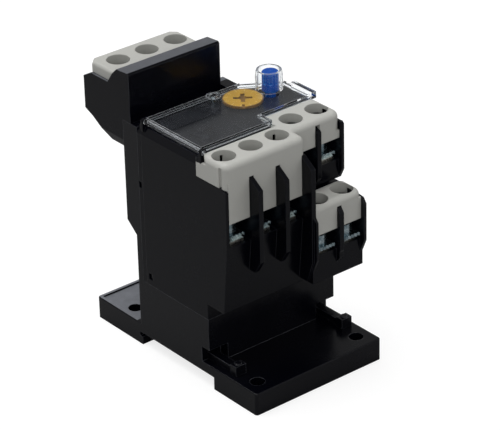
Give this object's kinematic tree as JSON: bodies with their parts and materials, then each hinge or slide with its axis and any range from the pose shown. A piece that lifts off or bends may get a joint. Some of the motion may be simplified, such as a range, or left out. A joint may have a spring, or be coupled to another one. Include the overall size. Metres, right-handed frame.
{
  "type": "thermal overload relay",
  "caption": "Thermal overload relay on a base for panel or rail mounting, with shrouded screw terminals, a current dial and a reset button under a hinged clear cover.",
  "frame": {"origin": "middle of the overall width and depth, on the underside of the mounting base", "axes": "+X to the right when facing the load terminals, +Y from the load terminals to the line terminals, +Z away from the mounting surface"},
  "size_m": [0.048, 0.077, 0.0895],
  "materials": {
    "black_plastic": "satin moulded, fine grain",
    "base_plastic": "satin moulded, fine grain",
    "white_plastic": "warm white moulded, satin",
    "line_cover_plastic": "warm light grey moulded, satin",
    "clear_plastic": "clear moulded, polished",
    "panel_plastic": "dark slate, smooth",
    "dial_plastic": "amber yellow, smooth",
    "button_plastic": "blue, polished",
    "zinc_steel": "zinc plated",
    "plated_brass": "tin plated brass",
    "spring_steel": "bare wire",
    "bimetal": "rolled strip",
    "heater_ribbon": "oxidised resistance ribbon",
    "inner_plastic": "natural moulded"
  },
  "bodies": {
    "base": {"mounting_base": "base_plastic", "line_terminal_block": "black_plastic", "line_terminal_cover": "line_cover_plastic", "line_terminal_screws": "zinc_steel", "line_clamp_washers": "zinc_steel", "line_terminal_bars": "plated_brass", "relay_pins": "plated_brass", "relay_housing": "black_plastic", "rear_cover": "black_plastic", "case_screws": "zinc_steel", "front_panel": "panel_plastic", "reset_spring": "spring_steel", "load_terminal_cover": "white_plastic", "aux_terminal_cover": "white_plastic", "load_terminal_screws": "zinc_steel", "load_clamp_washers": "zinc_steel", "load_terminal_bars": "plated_brass", "aux_terminal_screws": "zinc_steel", "aux_clamp_washers": "zinc_steel", "nc_fixed_contacts": "plated_brass", "no_fixed_contacts": "plated_brass", "lever_pin": "spring_steel", "contact_spring": "spring_steel"},
    "latch": {"rail_latch": "base_plastic"},
    "clear_cover": {"transparent_cover": "clear_plastic"},
    "dial": {"current_dial": "dial_plastic", "dial_cam": "inner_plastic"},
    "button": {"reset_button": "button_plastic", "button_clip": "spring_steel"},
    "tester": {"test_pin": "zinc_steel"},
    "slide_bar": {"trip_slide": "inner_plastic"},
    "lever": {"trip_lever": "inner_plastic"},
    "carrier": {"contact_carrier": "inner_plastic", "nc_bridge": "plated_brass", "no_bridge": "plated_brass"},
    "strip_1": {"bimetal_strip_1": "bimetal", "heater_coil_1": "heater_ribbon"},
    "strip_2": {"bimetal_strip_2": "bimetal", "heater_coil_2": "heater_ribbon"},
    "strip_3": {"bimetal_strip_3": "bimetal", "heater_coil_3": "heater_ribbon"}
  },
  "joints": [
    {"name": "latch_slide", "type": "slide", "parent": "base", "child": "latch", "axis": [0, -1, 0], "range_m": [0, 0.002]},
    {"name": "cover_hinge", "type": "hinge", "parent": "base", "child": "clear_cover", "pos_m": [-0.0229, -0.00235, 0.0762], "axis": [0, -1, 0], "range_deg": [0, 105]},
    {"name": "dial_turn", "type": "hinge", "parent": "base", "child": "dial", "pos_m": [0.0073, 0.0032, 0.0756], "axis": [0, 0, 1], "range_deg": [-135, 135]},
    {"name": "reset_press", "type": "slide", "parent": "base", "child": "button", "axis": [0, 0, -1], "range_m": [0, 0.002], "stiffness_N_per_m": 300, "springref_m": -0.002, "deforming": ["reset_spring"]},
    {"name": "test_press", "type": "slide", "parent": "base", "child": "tester", "axis": [0, 0, -1], "range_m": [0, 0.001], "stiffness_N_per_m": 100, "springref_m": -0.001},
    {"name": "trip_travel", "type": "slide", "parent": "base", "child": "slide_bar", "axis": [1, 0, 0], "range_m": [0, 0.0015], "stiffness_N_per_m": 200, "springref_m": -0.0005},
    {"name": "lever_turn", "type": "hinge", "parent": "base", "child": "lever", "pos_m": [0.006, -0.0055, 0.0666], "axis": [0, -1, 0], "range_deg": [0, 10.8]},
    {"name": "carrier_lift", "type": "slide", "parent": "base", "child": "carrier", "axis": [0, 0, 1], "range_m": [0, 0.00121], "deforming": ["contact_spring"]},
    {"name": "strip_bend_1", "type": "hinge", "parent": "base", "child": "strip_1", "pos_m": [-0.0194, 0.0015, 0.0301], "axis": [0, 1, 0], "range_deg": [0, 3]},
    {"name": "strip_bend_2", "type": "hinge", "parent": "base", "child": "strip_2", "pos_m": [-0.0097, 0.0015, 0.0301], "axis": [0, 1, 0], "range_deg": [0, 3]},
    {"name": "strip_bend_3", "type": "hinge", "parent": "base", "child": "strip_3", "pos_m": [0, 0.0015, 0.0301], "axis": [0, 1, 0], "range_deg": [0, 3]}
  ],
  "couplings": [
    {"joint": "lever_turn", "follows": "trip_travel", "rad_per_m": 125},
    {"joint": "carrier_lift", "follows": "trip_travel", "ratio": 0.8},
    {"joint": "strip_bend_1", "follows": "trip_travel", "rad_per_m": 34.6},
    {"joint": "strip_bend_2", "follows": "trip_travel", "rad_per_m": 34.6},
    {"joint": "strip_bend_3", "follows": "trip_travel", "rad_per_m": 34.6}
  ]
}
